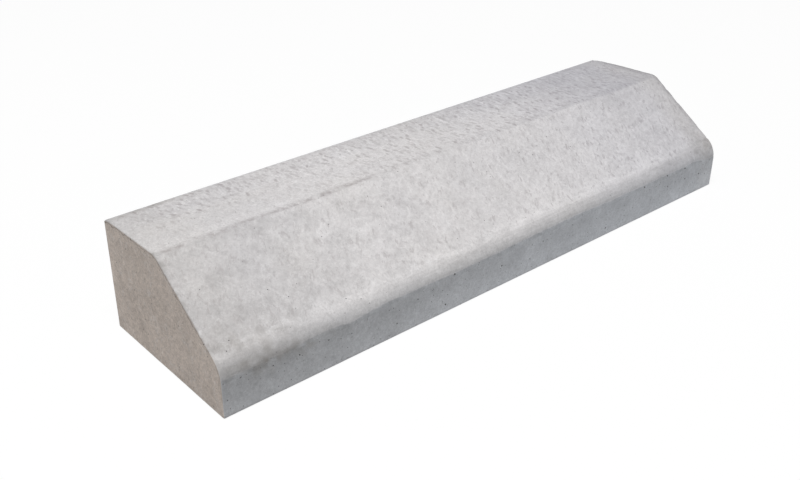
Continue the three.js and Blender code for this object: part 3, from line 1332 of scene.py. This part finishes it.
class KERB_OT_stone(bpy.types.Operator):
    """Cast the stone's surface over the frame's solid and give it its concrete"""

    bl_idname = "kerb.stone"
    bl_label = "Cast the stone"

    def execute(self, context):
        settings = context.scene
        mesh = build_mesh(settings.kerb_form, settings.kerb_relief)
        stone = bpy.data.objects.new(STONE + "_cast", mesh)
        context.scene.collection.objects.link(stone)
        groups = {
            "clouds": clouds_group(),
            "bloom": bloom_group(),
            "flecks": flecks_group(),
            "pocks": pocks_group(),
            "streaks": streaks_group(),
            "pinholes": pinholes_group(),
        }
        mesh.materials.append(skin_material(settings.kerb_colours, groups))
        mesh.materials.append(end_material(settings.kerb_colours, groups))
        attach(stone, "root")
        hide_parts(STONE)
        return {"FINISHED"}


class KERB_OT_stage(bpy.types.Operator):
    """Lay the pale floor, hang the lamp, set the sky and place the camera"""

    bl_idname = "kerb.stage"
    bl_label = "Set the stage"

    def execute(self, context):
        stage = context.scene.kerb_stage
        self.lay_floor(context.scene, stage)
        self.set_sky(context.scene, stage)
        self.hang_lamp(context.scene, stage)
        self.place_camera(context.scene, stage)
        context.scene.view_settings.view_transform = "Standard"
        return {"FINISHED"}

    def lay_floor(self, scene, stage):
        """A square floor just under the bed, nearly white to the camera."""
        half = stage.floor_size / 2
        mesh = bpy.data.meshes.new("floor")
        corners = [(-half, -half, 0), (half, -half, 0), (half, half, 0), (-half, half, 0)]
        mesh.from_pydata(corners, [], [(0, 1, 2, 3)])
        floor = bpy.data.objects.new("floor", mesh)
        floor.location.z = -stage.floor_gap
        scene.collection.objects.link(floor)
        made = bpy.data.materials.new("floor")
        made.use_nodes = True
        made.node_tree.nodes.clear()
        nodes = Nodes(made.node_tree)
        seen = seen_directly(nodes)
        colour = nodes.mix(seen, (*stage.floor_colour, 1.0), (*stage.floor_seen, 1.0))
        matt = nodes.add("BsdfDiffuse", Color=colour)
        white = nodes.add("Emission", Strength=1.0)
        share = nodes.times(seen, stage.floor_glow)
        both = nodes.worked("MixShader", share, matt.outputs[0], white.outputs[0])
        nodes.add("OutputMaterial", Surface=both.outputs[0])
        mesh.materials.append(made)

    def set_sky(self, scene, stage):
        """Even light from all round, plain white to the camera."""
        world = bpy.data.worlds.new("sky")
        world.use_nodes = True
        world.node_tree.nodes.clear()
        nodes = Nodes(world.node_tree)
        plain = (1.0, 1.0, 1.0, 1.0)
        even = nodes.add("Background", Color=plain, Strength=stage.sky)
        white = nodes.add("Background", Color=plain, Strength=1.0)
        both = nodes.worked("MixShader", seen_directly(nodes), even.outputs[0], white.outputs[0])
        nodes.add("OutputWorld", Surface=both.outputs[0])
        scene.world = world

    def hang_lamp(self, scene, stage):
        """A round soft lamp overhead, turned towards the middle of the bed."""
        data = bpy.data.lights.new("lamp", "AREA")
        data.shape = "DISK"
        data.size = stage.lamp_size
        data.energy = stage.lamp
        lamp = bpy.data.objects.new("lamp", data)
        place = Vector(stage.lamp_place)
        turn = place.to_track_quat("Z", "Y").to_matrix().to_4x4()
        lamp.matrix_world = Matrix.Translation(place) @ turn
        scene.collection.objects.link(lamp)

    def place_camera(self, scene, stage):
        """The scene's camera: turned to the heading, down by the pitch, then about its own axis."""
        data = bpy.data.cameras.new("camera")
        data.sensor_width = 36.0
        data.lens = stage.lens
        data.shift_x, data.shift_y = stage.shift
        camera = bpy.data.objects.new("camera", data)
        facing = Matrix.Rotation(-stage.heading, 4, "Z")
        facing = facing @ Matrix.Rotation(math.pi / 2 - stage.pitch, 4, "X")
        facing = facing @ Matrix.Rotation(stage.roll, 4, "Z")
        camera.matrix_world = Matrix.Translation(stage.camera_place) @ facing
        scene.collection.objects.link(camera)
        scene.camera = camera


class KERB_PT_panel(bpy.types.Panel):
    """Settings and steps of the kerb stone"""

    bl_idname = "KERB_PT_panel"
    bl_label = "Concrete kerb stone"
    bl_space_type = "VIEW_3D"
    bl_region_type = "UI"
    bl_category = "Kerb"

    def draw(self, context):
        for settings in SETTINGS:
            group = getattr(context.scene, settings)
            box = self.layout.box()
            for name in group.bl_rna.properties.keys():
                if name not in ("name", "rna_type"):
                    box.prop(group, name)
        self.layout.operator("kerb.stone")
        self.layout.operator("kerb.stage")


SETTINGS = {
    "kerb_form": KerbForm,
    "kerb_relief": KerbRelief,
    "kerb_colours": KerbColours,
    "kerb_stage": KerbStage,
}
CLASSES = (KERB_OT_stone, KERB_OT_stage, KERB_PT_panel)


def register():
    """Adds the settings to the scene, and the operators and the panel to Blender."""
    for name, group in SETTINGS.items():
        bpy.utils.register_class(group)
        setattr(bpy.types.Scene, name, PointerProperty(type=group))
    for made in CLASSES:
        bpy.utils.register_class(made)


def unregister():
    """Takes away what register added, in reverse."""
    for made in reversed(CLASSES):
        bpy.utils.unregister_class(made)
    for name, group in reversed(SETTINGS.items()):
        delattr(bpy.types.Scene, name)
        bpy.utils.unregister_class(group)


def main():
    """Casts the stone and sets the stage."""
    register()
    bpy.ops.kerb.stone()
    bpy.ops.kerb.stage()


if __name__ == "__main__":
    main()
